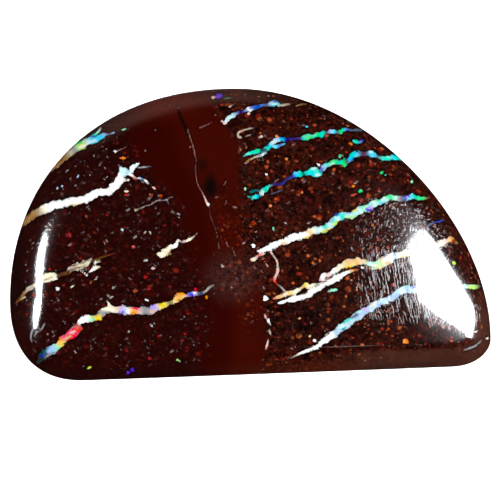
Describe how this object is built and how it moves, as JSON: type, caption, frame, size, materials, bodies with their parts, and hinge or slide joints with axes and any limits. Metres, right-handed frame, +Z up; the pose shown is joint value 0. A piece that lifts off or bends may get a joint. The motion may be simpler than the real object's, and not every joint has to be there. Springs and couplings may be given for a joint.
{
  "type": "polished boulder opal cabochon",
  "caption": "Half-moon polished boulder opal: dark brown ironstone crossed by bright opal seams, low domed crown, rolled shoulder, flat back to rest or set in a bezel.",
  "frame": {"origin": "middle of the stone's box, on its flat back", "axes": "+Z up out of the polished crown; +X along the straight side towards the end with the broad slope; -Y towards the straight side"},
  "size_m": [0.032, 0.0194, 0.0062],
  "materials": {
    "boulder_opal": "polished dark brown ironstone with opal seams; lapped back"
  },
  "bodies": {
    "root": {"boulder_opal": "boulder_opal"}
  },
  "joints": []
}
